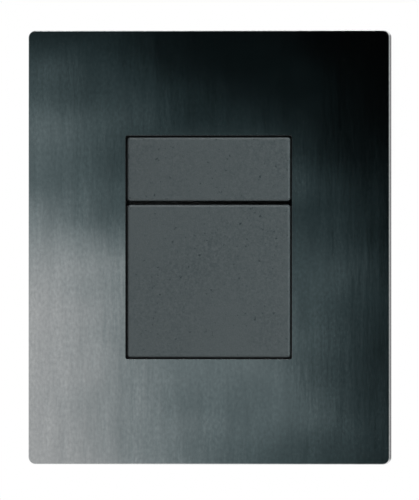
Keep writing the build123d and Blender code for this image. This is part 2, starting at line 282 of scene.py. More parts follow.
for name, *recipe in (
        ("black_plastic", (0.010, 0.010, 0.011), (0.015, 0.015, 0.016), (0.45, 0.6), 0.012),
        ("tray_plastic", (0.27, 0.28, 0.29), (0.33, 0.34, 0.35), (0.45, 0.62), 0.015),
        ("guide_plastic", (0.038, 0.040, 0.043), (0.052, 0.054, 0.058), (0.32, 0.45), 0.006),
        ("slider_plastic", (0.68, 0.68, 0.645), (0.76, 0.76, 0.735), (0.28, 0.4), 0.005),
        ("stop_rubber", (0.016, 0.016, 0.016), (0.024, 0.024, 0.024), (0.7, 0.85), 0.02)):
    keep_finish(name, moulded(name, *recipe))

# %% [markdown]
# ## Small steel pieces
# Screws and nuts are zinc plated, which leaves a blue and straw tint that drifts over the surface. The
# hinge pins are ground, with rings round the pin, and the springs and clips are drawn and oiled. Plain
# grey would do from afar, but close by such marks tell one steel from another. All are metals with a
# drifting tint, a range of roughness and a direction for their marks, so one function serves them.

# %% Steel finishes
def small_steel(name, cool, warm, gloss, marks):
    """A steel whose tint drifts from cool to warm, with marks that run along the axis of fewest lumps."""
    material, tree = start_finish(name)
    drift = grain(tree, lumps=(0.12, 0.12, 0.12))
    lines = grain(tree, lumps=marks, detail=3.0)
    return dress(material, {
        "Metallic": 1.0,
        "Base Color": blend_colours(tree, spread(tree, drift, 0.0, 1.0), cool, warm),
        "Roughness": spread(tree, lines, *gloss),
        "Normal": relief(tree, lines, depth=0.004)})


for name, *recipe in (
        ("plated_steel", (0.52, 0.55, 0.58), (0.60, 0.585, 0.53), (0.24, 0.4), (3.0, 3.0, 3.0)),
        ("pin_steel", (0.53, 0.535, 0.54), (0.57, 0.565, 0.56), (0.2, 0.32), (8.0, 0.2, 0.2)),
        ("spring_steel", (0.36, 0.365, 0.38), (0.44, 0.43, 0.42), (0.28, 0.42), (2.0, 6.0, 2.0))):
    keep_finish(name, small_steel(name, *recipe))

# %% [markdown]
# ## From a bmesh to a piece
# Every piece is modelled in millimetres where the frame has it, and is then handed over in the same
# way: it is brought to metres, stands for a CAD node, rides on that node's body and takes the finish
# that the record names for it. A weighted-normal modifier keeps flat faces looking flat beside their
# small rounded edges. Doing this in one function leaves only the shape to each modelling cell.

# %% Hand a finished bmesh over
SMOOTH_BELOW = math.radians(32)
SLOT_OF = {row["node"]: row["material_slot"] for row in frame["record"]["subparts"]}


def linked_object(name, bm):
    """An object in the scene whose mesh is a bmesh's."""
    mesh = bpy.data.meshes.new(name)
    bm.to_mesh(mesh)
    bm.free()
    made = bpy.data.objects.new(name, mesh)
    scene.collection.objects.link(made)
    return made


def finish_piece(bm, node, keep_flat=True):
    """Turns a bmesh in millimetres into the shown piece of a CAD node."""
    open_edges = sum(not edge.is_manifold for edge in bm.edges)
    volume = bm.calc_volume()
    bmesh.ops.scale(bm, vec=(MM, MM, MM), verts=bm.verts)
    piece = linked_object(node + "_detail", bm)
    mesh = piece.data
    mesh.shade_smooth()
    mesh.set_sharp_from_angle(angle=SMOOTH_BELOW)
    mesh.materials.append(FINISHES[SLOT_OF[node]])
    if keep_flat:
        piece.modifiers.new("flat_faces", "WEIGHTED_NORMAL").keep_sharp = True
    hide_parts(node)
    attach(piece, frame["nodes"][node]["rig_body"])
    print(piece.name, len(mesh.polygons), "faces,", open_edges, "open edges,", round(volume, 1), "cubic mm")
    return piece

# %% [markdown]
# ## The face plate
# The plate is one sheet, folded back to the wall all round, with one window. It could be a box with the
# inside and the window cut by booleans, but booleans leave stray faces at rounded corners. Six rounded
# outlines with walls and flat rings between them give a clean closed sheet of even thickness.

# %% Upright outlines
LIE_UPRIGHT = Matrix.Rotation(math.radians(90), 3, "X")


def upright_rectangle(bm, half_x, half_z, centre):
    """The corners of a flat rectangle across the Y axis."""
    verts = bmesh.ops.create_grid(bm, x_segments=1, y_segments=1, size=1.0)["verts"]
    bmesh.ops.scale(bm, vec=(half_x, half_z, 1.0), verts=verts)
    bmesh.ops.rotate(bm, cent=(0, 0, 0), matrix=LIE_UPRIGHT, verts=verts)
    bmesh.ops.translate(bm, vec=centre, verts=verts)
    return verts


def rounded_outline(bm, half_x, half_z, radius, steps, centre):
    """A loop of edges round an upright rectangle with round corners."""
    earlier = set(bm.faces)
    corners = upright_rectangle(bm, half_x, half_z, centre)
    bmesh.ops.bevel(bm, geom=corners, offset=radius, affect="VERTICES", segments=steps, profile=0.5,
                    material=-1)
    face = next(face for face in bm.faces if face not in earlier)
    loop = list(face.edges)
    bm.faces.remove(face)
    return loop

# %% Walls between outlines and round edges
def only(kind, items):
    """The vertices, edges or faces among mixed bmesh items."""
    return [item for item in items if isinstance(item, kind)]


def extended(bm, loop):
    """Faces that grow from a loop, as the vertices and the edges of their far side, not yet moved."""
    made = bmesh.ops.extrude_edge_only(bm, edges=loop)["geom"]
    verts = only(bmesh.types.BMVert, made)
    return verts, [edge for edge in only(bmesh.types.BMEdge, made) if set(edge.verts) <= set(verts)]


def wall(bm, loop, depth):
    """A straight wall from a loop along Y, as the loop at its far end."""
    verts, far_loop = extended(bm, loop)
    bmesh.ops.translate(bm, vec=(0, depth, 0), verts=verts)
    return far_loop


def joined(bm, *pairs):
    """Puts faces between the two loops of each pair."""
    for near, far in pairs:
        bmesh.ops.bridge_loops(bm, edges=near + far)
    bmesh.ops.recalc_face_normals(bm, faces=bm.faces)


def round_over(bm, edges, radius, steps=3, clamp=True):
    """Rounds the chosen edges, by less than the radius where clamping finds too little room."""
    bmesh.ops.bevel(bm, geom=list(edges), offset=radius, affect="EDGES", segments=steps, profile=0.5,
                    material=-1, clamp_overlap=clamp)

# %% Face plate
PLATE_CORNER = 2.0
PLATE_EDGE = 0.3
RIM_EDGE = 0.2
WINDOW_CORNER = 0.6
WINDOW_EDGE = 0.03
KEY_GAP = 0.55
CORNER_STEPS = 7


def box_mm(node):
    """A node's lowest and highest corners in millimetres."""
    low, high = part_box(node)
    return low / MM, high / MM


def face_plate():
    low, high = box_mm("front_plate")
    sheet_back = box_mm("plate_studs")[0].y
    sheet = sheet_back - low.y
    key_corner = box_mm("small_key_cap")[1]
    rim = (high.x, high.z, PLATE_CORNER)
    fold = (high.x - sheet, high.z - sheet, PLATE_CORNER - sheet)
    window = (key_corner.x + KEY_GAP, key_corner.z + KEY_GAP, WINDOW_CORNER)
    bm = bmesh.new()
    rim_front = rounded_outline(bm, *rim, CORNER_STEPS, (0, low.y, 0))
    rim_back = wall(bm, rim_front, high.y - low.y)
    fold_back = rounded_outline(bm, *fold, CORNER_STEPS, (0, high.y, 0))
    fold_front = wall(bm, fold_back, sheet_back - high.y)
    window_back = rounded_outline(bm, *window, CORNER_STEPS, (0, sheet_back, 0))
    window_front = wall(bm, window_back, -sheet)
    joined(bm, (rim_back, fold_back), (fold_front, window_back), (window_front, rim_front))
    for loop, radius in ((rim_front, PLATE_EDGE), (rim_back, RIM_EDGE), (window_front, WINDOW_EDGE)):
        round_over(bm, loop, radius)
    return bm


finish_piece(face_plate(), "front_plate")

# %% [markdown]
# ## The two keys
# A key is a flat metal bar that fills its part of the window with an even gap all round. Its front
# edges are eased, and they catch a thin line of light at the top and at the right. A beveled cube would
# do, but two outlines with caps give the corners and the edges their own radii.

# %% Keys
KEY_CORNER = 0.85
KEY_EDGE = 0.8
KEY_BACK_EDGE = 0.1
SIZES = ("small", "large")


def middle_of(node):
    """The middle of a node's box in millimetres."""
    low, high = box_mm(node)
    return (low + high) / 2


def key_cap(node):
    low, high = box_mm(node)
    half_height = (high.z - low.z) / 2
    centre = (0, low.y, middle_of(node).z)
    bm = bmesh.new()
    front = rounded_outline(bm, high.x, half_height, KEY_CORNER, CORNER_STEPS, centre)
    back = wall(bm, front, high.y - low.y)
    for loop in (front, back):
        bmesh.ops.edgeloop_fill(bm, edges=loop)
    bmesh.ops.recalc_face_normals(bm, faces=bm.faces)
    round_over(bm, front, KEY_EDGE, steps=5)
    round_over(bm, back, KEY_BACK_EDGE, steps=2)
    return bm


for size in SIZES:
    finish_piece(key_cap(size + "_key_cap"), size + "_key_cap")

# %% [markdown]
# ## Mouldings, clips and pads
# The tray, the hinge frame, the rockers, the folded clips and the rubber pads have the right shape in
# the model already, but every edge there is knife sharp, and no mould or press makes such edges. They
# could be modelled again from outlines, but a copy keeps every rib and hole. Its loose triangles are
# merged back into flat faces, and the crisp edges are rounded by a small radius. One short edge would
# hold back the radius of all the others, so clamping is off and each radius is small enough for its
# piece. The short edges of the rockers lie too close together for theirs and stay as they are.

# %% Soften the crisp edges of a copy
MERGE_WITHIN = 0.0005
FLAT_WITHIN = math.radians(1)
CRISP_ABOVE = 40.0


def sharp_edges(bm, degrees=25.0, longer_than=0.0):
    """The edges at which two faces meet at more than an angle, if they are long enough."""
    limit = math.radians(degrees)
    return [edge for edge in bm.edges if edge.is_manifold and edge.calc_face_angle() > limit
            and edge.calc_length() > longer_than]


def softened(node, radius, longer_than):
    """A copy of a CAD node's mesh in millimetres with its longer edges rounded."""
    bm = bmesh.new()
    bm.from_mesh(frame["nodes"][node].data)
    bmesh.ops.scale(bm, vec=(1 / MM, 1 / MM, 1 / MM), verts=bm.verts)
    bmesh.ops.remove_doubles(bm, verts=bm.verts, dist=MERGE_WITHIN)
    bmesh.ops.dissolve_limit(bm, angle_limit=FLAT_WITHIN, verts=bm.verts, edges=bm.edges)
    round_over(bm, sharp_edges(bm, CRISP_ABOVE, longer_than), radius, steps=2, clamp=False)
    return bm


for node, radius, longer_than in (("mounting_frame", 0.3, 0.0), ("hinge_frame", 0.12, 0.0),
                                  ("small_rocker", 0.2, 0.8), ("large_rocker", 0.2, 0.8),
                                  ("retaining_clips", 0.1, 0.0), ("stop_pads", 0.1, 0.0)):
    finish_piece(softened(node, radius, longer_than), node)

# %% [markdown]
# ## Turned pieces
# The tappets, the rod tips and the hinge pins are round. A pin is a plain cylinder with eased ends. The
# others could be cylinders set on each other, but an outline spun about its axis is how a lathe makes
# them, and one outline holds the head, the stem and the bore together. The rings where it turns a
# corner are then eased.

# %% Spin an outline
def drawn(bm, outline):
    """The points and lines of an open outline of (radius, y) pairs."""
    points = [bm.verts.new((radius, y, 0.0)) for radius, y in outline]
    return points + [bm.edges.new(pair) for pair in zip(points, points[1:])]


def cleaned(bm):
    """Merges what the ends of a spin have in common and turns its faces outwards."""
    bmesh.ops.remove_doubles(bm, verts=bm.verts, dist=MERGE_WITHIN)
    bmesh.ops.recalc_face_normals(bm, faces=bm.faces)


def spun(outline, steps=48, bm=None):
    """An outline turned about the Y axis, in a new bmesh or beside what is there."""
    bm = bm or bmesh.new()
    bmesh.ops.spin(bm, geom=drawn(bm, outline), cent=(0, 0, 0), axis=(0, 1, 0), angle=2 * math.pi,
                   steps=steps, use_merge=True)
    cleaned(bm)
    return bm


def on_axis_of(bm, node):
    """The same bmesh moved on to the axis of a node that lies along Y."""
    middle = middle_of(node)
    bmesh.ops.translate(bm, vec=(middle.x, 0, middle.z), verts=bm.verts)
    return bm

# %% Tappets and rod tips
SPRING_SEAT = 0.02
STEM_RADIUS = 3.5
THREAD_CLEARANCE = 0.05
TAPPET_EDGE = 0.25
TIP_DOME = 1.2
TIP_SHOULDER = 0.35
TIP_EDGE = 0.2


def tappet(size):
    low, high = box_mm(size + "_tappet")
    head_back = box_mm(size + "_rod_spring")[0].y - SPRING_SEAT
    rod_low, rod_high = box_mm(size + "_rod")
    bore = rod_high.x + THREAD_CLEARANCE
    bm = spun([(0, low.y), (high.x, low.y), (high.x, head_back), (STEM_RADIUS, head_back),
               (STEM_RADIUS, high.y), (bore, high.y), (bore, rod_low.y), (0, rod_low.y)])
    round_over(bm, sharp_edges(bm), TAPPET_EDGE)
    return bm


def rod_tip(size):
    low, high = box_mm(size + "_rod_tip")
    rod_end = box_mm(size + "_rod")[1]
    bore = rod_end.x + THREAD_CLEARANCE
    dome = [(high.x - TIP_DOME, high.y), (high.x - TIP_SHOULDER, high.y - TIP_SHOULDER),
            (high.x, high.y - TIP_DOME)]
    bm = spun([(0, high.y), *dome, (high.x, low.y), (bore, low.y), (bore, rod_end.y), (0, rod_end.y)])
    round_over(bm, sharp_edges(bm), TIP_EDGE)
    return bm


for size in SIZES:
    for piece, make in (("_tappet", tappet), ("_rod_tip", rod_tip)):
        finish_piece(on_axis_of(make(size), size + piece), size + piece)

# %% Hinge pins
LIE_ACROSS = Matrix.Rotation(math.radians(90), 3, "Y")
PIN_EDGE = 0.3
PIN_STEPS = 48


def hinge_pin(node):
    low, high = box_mm(node)
    radius = (high.z - low.z) / 2
    bm = bmesh.new()
    bmesh.ops.create_cone(bm, cap_ends=True, segments=PIN_STEPS, radius1=radius, radius2=radius,
                          depth=high.x - low.x)
    bmesh.ops.rotate(bm, cent=(0, 0, 0), matrix=LIE_ACROSS, verts=bm.verts)
    bmesh.ops.translate(bm, vec=middle_of(node), verts=bm.verts)
    round_over(bm, sharp_edges(bm, degrees=60.0), PIN_EDGE)
    return bm


for size in SIZES:
    finish_piece(hinge_pin(size + "_hinge_pin"), size + "_hinge_pin")

# %% [markdown]
# ## Threads
# The rods, the studs, the bushes and the wall screws are threaded. Stacked rings would be quicker, but
# they look wrong from close by, so each thread is a real helix. The profile of one turn is spun while
# it rises by one pitch a turn, so each turn's end is the next one's start and the seams merge. The skin
# is made too long and cut square at both ends.

# %% Thread skin
FLANK = 0.36
CREST = 0.18
LEAD_TURNS = 2


def cut_off(bm, point, outwards):
    """Cuts away what lies beyond a plane, and returns the edges of the cut."""
    whole = bm.verts[:] + bm.edges[:] + bm.faces[:]
    cut = bmesh.ops.bisect_plane(bm, geom=whole, plane_co=point, plane_no=outwards, clear_outer=True)
    return only(bmesh.types.BMEdge, cut["geom_cut"])


def thread_skin(bm, crest, root, pitch, start, end, steps=24):
    """An open threaded skin about the Y axis, as the loops of edges at its start and its end."""
    turns = math.ceil((end - start) / pitch) + LEAD_TURNS + 1
    first = start - LEAD_TURNS * pitch
    shares = ((root, 0), (crest, FLANK), (crest, FLANK + CREST), (root, 2 * FLANK + CREST), (root, 1))
    profile = drawn(bm, [(radius, first + share * pitch) for radius, share in shares])
    bmesh.ops.spin(bm, geom=profile, cent=(0, 0, 0), axis=(0, 1, 0), dvec=(0, pitch / steps, 0),
                   angle=2 * math.pi * turns, steps=steps * turns)
    cleaned(bm)
    return [cut_off(bm, (0, y, 0), (0, side, 0)) for y, side in ((start, -1), (end, 1))]


def threaded_bar(crest, root, pitch, start, end):
    """A closed threaded bar about the Y axis."""
    bm = bmesh.new()
    for loop in thread_skin(bm, crest, root, pitch, start, end):
        bmesh.ops.edgeloop_fill(bm, edges=loop)
    bmesh.ops.recalc_face_normals(bm, faces=bm.faces)
    return bm

# %% Threaded rods
ROD_PITCH = 0.7
ROD_THREAD = 0.4

for size in SIZES:
    node = size + "_rod"
    low, high = box_mm(node)
    bar = threaded_bar(high.x, high.x - ROD_THREAD, ROD_PITCH, low.y, high.y)
    finish_piece(on_axis_of(bar, node), node, keep_flat=False)

# %% Plate studs
STUD_RADIUS = 1.5
STUD_PITCH = 0.5
STUD_THREAD = 0.28
stud_low, stud_high = box_mm("plate_studs")
STUD_PLACES = [(x * (stud_high.x - STUD_RADIUS), 0, z * (stud_high.z - STUD_RADIUS))
               for x in (-1, 1) for z in (-1, 1)]


def repeated(bm, places):
    """One piece on the Y axis copied to each of several places."""
    first = bm.verts[:] + bm.edges[:] + bm.faces[:]
    copies = [bmesh.ops.duplicate(bm, geom=first)["geom"] for _ in places[1:]]
    for copy, place in zip([first] + copies, places):
        bmesh.ops.translate(bm, vec=place, verts=only(bmesh.types.BMVert, copy))
    return bm


stud = threaded_bar(STUD_RADIUS, STUD_RADIUS - STUD_THREAD, STUD_PITCH, stud_low.y, stud_high.y)
finish_piece(repeated(stud, STUD_PLACES), "plate_studs", keep_flat=False)

# %% [markdown]
# ## Nuts
# A hex nut starts as a round blank with a bore, and its two faces are turned to a shallow cone. Six
# flats then cut the blank, and each flat meets the cone in the curved line that every nut shows. A
# beveled six-sided cylinder would only have straight lines there, so the blank is spun and the flats
# are cut as on the real one.

# %% Hex nuts
CONE = math.radians(30)
BLANK_PER_FLATS = 0.58
FACE_PER_FLATS = 0.47
BLANK_STEPS = 96


def cut_flat(bm, outwards, distance):
    """Cuts away what lies beyond a plane at a distance from the origin, and closes the cut."""
    bmesh.ops.edgeloop_fill(bm, edges=cut_off(bm, Vector(outwards) * distance, outwards))


def hex_nut(flats, bore, front, back):
    """A hex nut on the Y axis with a plain bore and turned faces."""
    blank = BLANK_PER_FLATS * flats
    face = FACE_PER_FLATS * flats
    drop = (blank - face) * math.tan(CONE)
    bm = spun([(bore, front), (face, front), (blank, front + drop), (blank, back - drop), (face, back),
               (bore, back), (bore, front)], BLANK_STEPS)
    for side in range(6):
        turn = math.radians(30 + 60 * side)
        cut_flat(bm, (math.cos(turn), 0, math.sin(turn)), flats / 2)
    bmesh.ops.recalc_face_normals(bm, faces=bm.faces)
    return bm

# %% Lock nuts, bush nuts and stud nuts
SLEEVE_CREST = 6.0

for size in SIZES:
    for node, thread in ((size + "_lock_nut", box_mm(size + "_rod")[1].x),
                         (size + "_bush_nut", SLEEVE_CREST)):
        low, high = box_mm(node)
        nut = hex_nut(high.z - low.z, thread + THREAD_CLEARANCE, low.y, high.y)
        finish_piece(on_axis_of(nut, node), node)

nut_low, nut_high = box_mm("stud_nuts")
STUD_NUT_FLATS = 2 * (nut_high.z - STUD_PLACES[-1][2])
stud_nut = hex_nut(STUD_NUT_FLATS, STUD_RADIUS + THREAD_CLEARANCE, nut_low.y, nut_high.y)
finish_piece(repeated(stud_nut, STUD_PLACES), "stud_nuts")

# %% [markdown]
# ## Guide bushes
# A bush is moulded in one: a smooth nose that the spring sits round, a square flange on the tray's
# floor, and a threaded sleeve for the nut behind it. A spun bush with a thread laid round it would be
# two shells in each other, so it grows from the thread's own skin: the loop at the sleeve's end is
# extruded through the bore, round the nose and out to a round flange, and closes on the thread's start.
# Four cuts make the flange square and leave its corners round.

# %% Bushes
BUSH_BORE = 3.6
BUSH_NOSE = 4.9
NOSE_TAPER = 0.4
NOSE_LEAD = 0.6
BUSH_FLANGE = 1.5
FLANGE_CORNER = 10.2
FLANGE_EDGE = 0.2
SLEEVE_ROOT = 5.35
SLEEVE_PITCH = 1.25
SLEEVE_NECK = 0.3
THREAD_FROM = 0.5
SLEEVE_STEPS = 48


def lathe_step(bm, loop, radius, y):
    """Faces from a loop round the Y axis to a circle at y, as that circle."""
    verts, circle = extended(bm, loop)
    for vert in verts:
        spoke = Vector((vert.co.x, 0, vert.co.z)).normalized() * radius
        vert.co = spoke + Vector((0, y, 0))
    return circle


def guide_bush(size):
    node = size + "_rod_bush"
    low, high = box_mm(node)
    seat = box_mm(size + "_rod_spring")[1].y + SPRING_SEAT
    floor = seat + BUSH_FLANGE
    bm = bmesh.new()
    thread_start, loop = thread_skin(bm, SLEEVE_CREST, SLEEVE_ROOT, SLEEVE_PITCH, floor + THREAD_FROM,
                                     high.y, SLEEVE_STEPS)
    for radius, y in ((BUSH_BORE, high.y), (BUSH_BORE, low.y),
                      (BUSH_NOSE - NOSE_TAPER, low.y), (BUSH_NOSE, low.y + NOSE_LEAD), (BUSH_NOSE, seat),
                      (FLANGE_CORNER - FLANGE_EDGE, seat), (FLANGE_CORNER, seat + FLANGE_EDGE),
                      (FLANGE_CORNER, floor), (SLEEVE_ROOT, floor), (SLEEVE_ROOT, floor + SLEEVE_NECK)):
        loop = lathe_step(bm, loop, radius, y)
    joined(bm, (loop, thread_start))
    for outwards in ((1, 0, 0), (-1, 0, 0), (0, 0, 1), (0, 0, -1)):
        cut_flat(bm, outwards, high.x)
    bmesh.ops.recalc_face_normals(bm, faces=bm.faces)
    return on_axis_of(bm, node)


for size in SIZES:
    finish_piece(guide_bush(size), size + "_rod_bush")

# %% [markdown]
# ## Wall screws
# A wall screw has a pan head with a cross for the driver, a plain neck and a coarse thread that runs
# out to a point. The head is spun. A cross could be cut by a boolean, but that leaves long thin faces
# on the round top. It is ruled on to the top by cutting planes instead, and the faces inside it are
# pushed down and drawn in, as the punch does.

# %% Cross drive
CROSS_ARM = 0.5
CROSS_REACH = 2.3
CROSS_DEPTH = 1.4
CROSS_TAPER = 0.7
LEVEL_WITHIN = 1e-4


def faces_at(bm, y):
    """The faces that lie flat at y."""
    return [face for face in bm.faces if all(abs(vert.co.y - y) < LEVEL_WITHIN for vert in face.verts)]


def inside_cross(face):
    """Whether the middle of a face lies within the cross."""
    middle = face.calc_center_median()
    near, far = sorted((abs(middle.x), abs(middle.z)))
    return near < CROSS_ARM and far < CROSS_REACH


def punch_cross(bm, y):
    """Sinks a tapered cross into the flat top at y."""
    for across in (Vector((1, 0, 0)), Vector((0, 0, 1))):
        for along in (-CROSS_REACH, -CROSS_ARM, CROSS_ARM, CROSS_REACH):
            top = faces_at(bm, y)
            parts = dict.fromkeys(item for face in top for item in (*face.verts, *face.edges, face))
            bmesh.ops.bisect_plane(bm, geom=list(parts), plane_co=across * along, plane_no=across)
    cross = [face for face in faces_at(bm, y) if inside_cross(face)]
    pushed = only(bmesh.types.BMVert, bmesh.ops.extrude_face_region(bm, geom=cross)["geom"])
    bmesh.ops.delete(bm, geom=cross, context="FACES")
    bmesh.ops.translate(bm, vec=(0, CROSS_DEPTH, 0), verts=pushed)
    bmesh.ops.scale(bm, vec=(CROSS_TAPER, 1, CROSS_TAPER), verts=pushed)

# %% Wall screws
TRAY_WALL = 2.0
SCREW_CREST = 2.0
SCREW_ROOT = 1.4
SCREW_PITCH = 1.8
SCREW_NECK = 1.75
POINT_LENGTH = 6.0
POINT_SHARE = 0.08
HEAD_DOME = ((1.1, 0.0), (0.35, 0.3), (0.0, 1.0))
HEAD_LIP = (0.25, 0.3)
HEAD_STEPS = 40


def sharpened(bm, tip):
    """The same bar drawn in to a point that ends at tip on the Y axis."""
    for vert in bm.verts:
        left = (tip - vert.co.y) / POINT_LENGTH
        if left < 1:
            share = POINT_SHARE + (1 - POINT_SHARE) * left
            vert.co.x *= share
            vert.co.z *= share
    return bm


def wall_screws():
    low, high = box_mm("wall_screws")
    head = (high.z - low.z) / 2
    tray_back = box_mm("small_bush_nut")[0].y
    seat = tray_back - TRAY_WALL
    bm = sharpened(threaded_bar(SCREW_CREST, SCREW_ROOT, SCREW_PITCH, tray_back, high.y), high.y)
    dome = [(head - inset, low.y + drop) for inset, drop in HEAD_DOME]
    lip_inset, lip_rise = HEAD_LIP
    spun([(0, low.y), *dome, (head, seat - lip_rise), (head - lip_inset, seat), (SCREW_NECK, seat),
          (SCREW_NECK, tray_back), (0, tray_back)], HEAD_STEPS, bm)
    punch_cross(bm, low.y)
    side = high.x - head
    return repeated(bm, [(-side, 0, 0), (side, 0, 0)])


finish_piece(wall_screws(), "wall_screws", keep_flat=False)

# %% [markdown]
# ## Springs
# A push-rod spring is wound from wire, with its end coils closed and ground flat. A curve with a round
# bevel could be the wire, but its pitch would have to be written out point by point. Here a circle of
# wire is spun about the rod's axis in three stages: slowly rising, steeply rising, slowly rising. The
# ends are cut square. Between the tappet and the bush the real spring is squeezed as the rod goes in;
# the piece here is one coil at a single length.

# %% Rod springs
WIRE = 0.8
WIRE_SIDES = 12
CLOSED_TURNS = 1.0
CLOSED_PITCH = 1.02 * WIRE
OPEN_TURNS = 3.25
COIL_STEPS = 40
GROUND_OFF = 0.25


def rod_spring(node):
    low, high = box_mm(node)
    mean_radius = (high.x - low.x) / 2 - WIRE / 2
    start = low.y + WIRE / 2 - GROUND_OFF
    closed_rise = CLOSED_PITCH * CLOSED_TURNS
    open_rise = high.y - low.y + 2 * GROUND_OFF - WIRE - 2 * closed_rise
    bm = bmesh.new()
    verts = bmesh.ops.create_circle(bm, cap_ends=True, radius=WIRE / 2, segments=WIRE_SIDES)["verts"]
    bmesh.ops.translate(bm, vec=(mean_radius, start, 0), verts=verts)
    section = list(dict.fromkeys(edge for vert in verts for edge in vert.link_edges)) + verts
    for turns, rise in ((CLOSED_TURNS, closed_rise), (OPEN_TURNS, open_rise), (CLOSED_TURNS, closed_rise)):
        steps = round(COIL_STEPS * turns)
        spin = bmesh.ops.spin(bm, geom=section, cent=(0, 0, 0), axis=(0, 1, 0), dvec=(0, rise / steps, 0),
                              angle=2 * math.pi * turns, steps=steps)
        section = spin["geom_last"]
    bmesh.ops.edgeloop_fill(bm, edges=only(bmesh.types.BMEdge, section))
    bmesh.ops.recalc_face_normals(bm, faces=bm.faces)
    cut_flat(bm, (0, -1, 0), -low.y)
    cut_flat(bm, (0, 1, 0), high.y)
    return on_axis_of(bm, node)


for size in SIZES:
    node = size + "_rod_spring"
    coil = finish_piece(rod_spring(node), node, keep_flat=False)
    low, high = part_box(node)
    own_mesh(coil)

# %% [markdown]
# ## The camera
# The plate's upright and level edges stay parallel in the photograph, so it was taken from far away
# through a long lens, level with the plate and a little to its right: only a sliver of the right rim
# shows. The camera could be moved about until the picture fits, but it is quicker to measure where the
# middle of the face lies and how many pixels a millimetre takes. The lens is chosen, and the distance
# then follows from that scale.

# %% Camera
PHOTO_HEIGHT = 500
PHOTO_CENTRE = Vector((209.5, 250.0))
FACE_CENTRE = Vector((208.65, 247.3))
PIXELS_PER_MM = 3.4996
AZIMUTH = math.radians(7.3)
LENS = 1200.0
SENSOR = 36.0

towards_camera = Vector((math.sin(AZIMUTH), -math.cos(AZIMUTH), 0.0))
rightwards = Vector((math.cos(AZIMUTH), math.sin(AZIMUTH), 0.0))
face_middle = Vector((0.0, box_mm("front_plate")[0].y, 0.0))
offset = (PHOTO_CENTRE - FACE_CENTRE) / PIXELS_PER_MM
aim = face_middle + rightwards * offset.x - Vector((0, 0, 1)) * offset.y
distance = PHOTO_HEIGHT / PIXELS_PER_MM * LENS / SENSOR

camera_data = bpy.data.cameras.new("camera")
camera_data.lens = LENS
camera_data.sensor_width = SENSOR
camera = bpy.data.objects.new("camera", camera_data)
camera.location = (aim + towards_camera * distance) * MM
camera.rotation_euler = (-towards_camera).to_track_quat("-Z", "Y").to_euler()
scene.collection.objects.link(camera)
scene.camera = camera
print("camera", round(distance * MM, 3), "m from the face")

# %% [markdown]
# ## World and lamps
# From here on the stage is laid out in metres. A white sky fills in from all sides. What the camera and
# shiny surfaces see of it is full white, as in a studio with white walls, and what lights matte
# surfaces is under a third of that. Three soft lamps add the rest. A brighter sky could do it alone,
# but then no edge would have a light and a dark side. The top lamp is seen in reflections, because it
# draws the light lines on the keys' top edges. The lamps at the right and at the back are hidden from
# them, where they would be white patches on the metal.

# %% World
SKY_LIGHT = 0.3
world = bpy.data.worlds.new("studio")
scene.world = world
world.use_nodes = True
sky = world.node_tree


def worked_out(tree, operation, *values):
    """The result of a Math node whose inputs are plain numbers or come from other nodes."""
    return add_node(tree, "Math", dict(enumerate(values)), operation=operation).outputs[0]


ray = add_node(sky, "LightPath").outputs
seen = worked_out(sky, "ADD", ray["Is Camera Ray"], ray["Is Glossy Ray"])
shown = worked_out(sky, "ADD", seen, ray["Is Transmission Ray"])
background = sky.nodes["Background"]
background.inputs["Color"].default_value = (1, 1, 1, 1)
feed(sky, background.inputs["Strength"], spread(sky, shown, SKY_LIGHT, 1.0, 0.0, 1.0))
print("sky at 1 where it is seen and at", SKY_LIGHT, "where it lights matte surfaces")

# %% Lamps
def lamp(name, place, size, share, glossy):
    """A square soft lamp that gives a face turned to it at the origin a share of the plain light level."""
    position = Vector(place)
    data = bpy.data.lights.new(name, "AREA")
    data.size = size
    data.energy = share * math.pi ** 2 * position.length_squared
    made = bpy.data.objects.new(name, data)
    made.location = position
    made.rotation_euler = position.to_track_quat("Z", "Y").to_euler()
    made.visible_glossy = glossy
    made.visible_camera = False
    scene.collection.objects.link(made)
    print(name, round(data.energy, 2), "W")


lamp("top_lamp", (0.05, -0.45, 0.7), size=0.5, share=0.42, glossy=True)
lamp("right_lamp", (0.22, -0.12, 0.02), size=0.12, share=0.7, glossy=False)
lamp("back_lamp", (-0.5, 0.9, 0.6), size=0.6, share=0.55, glossy=False)

# %% [markdown]
# ## Cards round the plate
# Brushed metal shows what stands in front of it, and this face runs from pale at the lower left to near
# black at the upper right. Painting that on the metal would be wrong from every other side. A card that
# only reflections can see stands in front of the face instead, black at one corner and glowing at the
# other, and the metal does the rest. Noise lets the border between them drift like smoke, and the far
# ends of the card are pale again, so that the face stays metal when it is seen from the side. A second,
# grey card behind the right edge is what photographers call a flag: it keeps the rim from melting into
# the white background.

# %% Cards that only reflections see
def upright_card(name, half_x, half_z, place):
    """A card across the Y axis that glows, as the node tree and the glow of its material."""
    bm = bmesh.new()
    upright_rectangle(bm, half_x, half_z, place)
    card = linked_object(name, bm)
    card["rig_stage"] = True
    for kind in ("camera", "diffuse", "transmission", "shadow", "volume_scatter"):
        setattr(card, "visible_" + kind, False)
    material, tree = start_finish(name)
    card.data.materials.append(material)
    tree.nodes.remove(tree.nodes["Principled BSDF"])
    glow = add_node(tree, "Emission")
    feed(tree, tree.nodes["Material Output"].inputs["Surface"], glow.outputs["Emission"])
    print(name, "is", 2 * half_x, "by", 2 * half_z, "m")
    return tree, glow

# %% Graduated card
CARD_HALF_WIDTH = 0.9
CARD_HALF_HEIGHT = 0.22
CARD_DISTANCE = 0.12
CARD_GLOW = 0.66
CARD_DARK_TINT = (0.46, 1.08, 1.2)
TINT_POWER = 0.4
SMOKE = {"W": 18.5, "Scale": 18.0, "Detail": 5.0, "Roughness": 0.75}
SMOKE_DRIFT = 0.15
RAMP_ACROSS = {"dark_end": 0.055, "bright_end": -0.070, "power": 1.7, "least": 0.01}
RAMP_UPWARDS = {"dark_end": 0.078, "bright_end": -0.026, "power": 1.6, "least": 0.02}
PALE_END = {"low": 0.0, "high": 0.5, "start": 0.12, "stop": 0.3}


